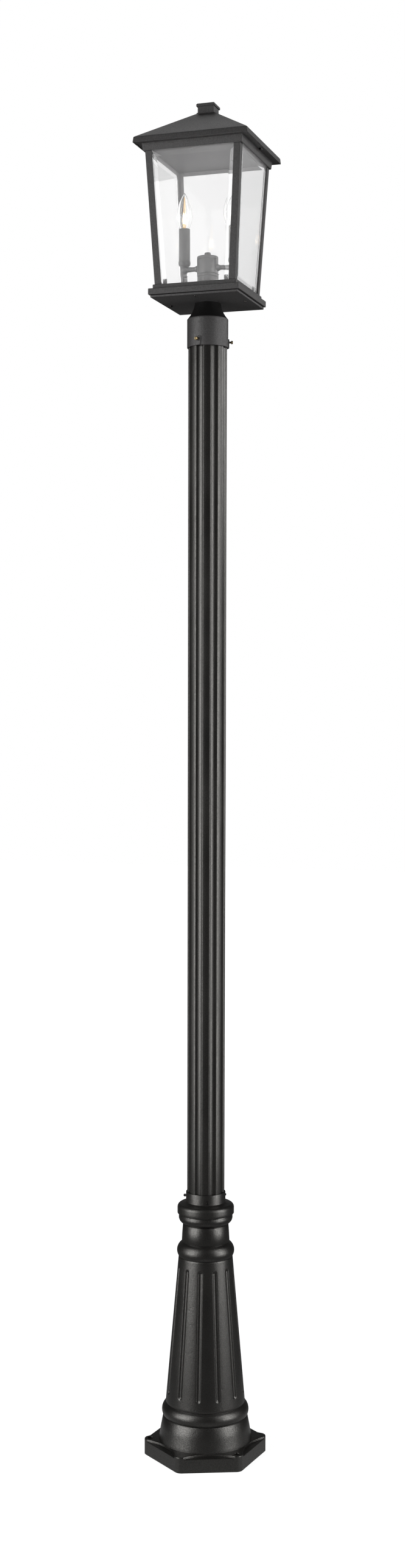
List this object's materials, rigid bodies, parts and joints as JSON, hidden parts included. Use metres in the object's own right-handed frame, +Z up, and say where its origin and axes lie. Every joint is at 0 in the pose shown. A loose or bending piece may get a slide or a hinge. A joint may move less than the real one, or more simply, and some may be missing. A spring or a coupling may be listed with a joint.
{
  "type": "post light",
  "caption": "Tall outdoor post light: a glazed square lantern with paired candle lamps on a fluted post in a cast hexagonal base.",
  "frame": {"origin": "on the ground, on the post's axis, under the middle of the foot", "axes": "+Z up along the post; the lantern's front looks along -Y and its right side along +X"},
  "size_m": [0.2346, 0.2494, 2.7021],
  "materials": {
    "cast_black": "satin black powder coat over a slightly grainy sand casting",
    "post_black": "satin black powder coat on a smooth extrusion",
    "lantern_black": "fine-textured matte charcoal-black powder coat",
    "cluster_black": "matte charcoal powder coat, seen through glass as grey",
    "black_screw": "black oxide",
    "brass_screw": "satin brass",
    "zinc_steel": "zinc plated",
    "ground_green": "green dyed screw",
    "connector_plastic": "moulded plastic",
    "wire_insulation": "matte insulation",
    "socket_plastic": "moulded black plastic",
    "brass_shell": "bright brass",
    "nickel_shell": "nickel plated",
    "bulb_insulator": "black glass with a soldered tip",
    "bulb_glass": "thin clear glass",
    "clear_glass": "clear float glass with polished bevels",
    "filament": "glowing warm filament"
  },
  "bodies": {
    "post": {"base_casting": "cast_black", "base_collar_screws": "black_screw", "post_tube": "post_black"},
    "lantern": {"back_pane": "clear_glass", "bottom_plate": "lantern_black", "cap_nut": "cluster_black", "corner_angle_back_left": "lantern_black", "corner_angle_back_right": "lantern_black", "corner_angle_front_left": "lantern_black", "corner_angle_front_right": "lantern_black", "fitter_collar": "lantern_black", "fitter_nut": "zinc_steel", "fitter_screws": "brass_screw", "front_pane": "clear_glass", "glass_clips": "lantern_black", "ground_screw": "ground_green", "hub_body": "cluster_black", "hub_cap": "cluster_black", "hub_foot": "cluster_black", "lamp_leads": "wire_insulation", "left_arm": "cluster_black", "left_candle_cup": "cluster_black", "left_candle_sleeve": "cluster_black", "left_knuckle": "cluster_black", "left_pane": "clear_glass", "left_socket_body": "socket_plastic", "left_socket_contact": "brass_shell", "left_socket_shell": "brass_shell", "left_socket_stem": "zinc_steel", "plate_screws": "black_screw", "right_arm": "cluster_black", "right_candle_cup": "cluster_black", "right_candle_sleeve": "cluster_black", "right_knuckle": "cluster_black", "right_pane": "clear_glass", "right_socket_body": "socket_plastic", "right_socket_contact": "brass_shell", "right_socket_shell": "brass_shell", "right_socket_stem": "zinc_steel", "soffit_screws": "black_screw", "threaded_tube": "zinc_steel", "top_frame": "lantern_black", "tray": "lantern_black", "wire_connectors": "connector_plastic"},
    "roof": {"roof": "lantern_black", "ceiling_pan": "lantern_black", "finial": "lantern_black", "finial_stud": "zinc_steel", "finial_nut": "zinc_steel"},
    "left_bulb": {"left_bulb_shell": "nickel_shell", "left_bulb_contact": "bulb_insulator", "left_bulb_glass": "bulb_glass", "left_bulb_mount": "bulb_glass", "left_bulb_filament": "filament"},
    "right_bulb": {"right_bulb_shell": "nickel_shell", "right_bulb_contact": "bulb_insulator", "right_bulb_glass": "bulb_glass", "right_bulb_mount": "bulb_glass", "right_bulb_filament": "filament"}
  },
  "joints": [
    {"name": "head_turn", "type": "hinge", "parent": "post", "child": "lantern", "pos_m": [0, 0, 2.294], "axis": [0, 0, 1], "continuous": true},
    {"name": "roof_lift", "type": "slide", "parent": "lantern", "child": "roof", "axis": [0, 0, 1], "range_m": [0, 0.12]},
    {"name": "left_bulb_lift", "type": "slide", "parent": "lantern", "child": "left_bulb", "axis": [0, 0, 1], "range_m": [0, 0.03]},
    {"name": "right_bulb_lift", "type": "slide", "parent": "lantern", "child": "right_bulb", "axis": [0, 0, 1], "range_m": [0, 0.03]}
  ]
}
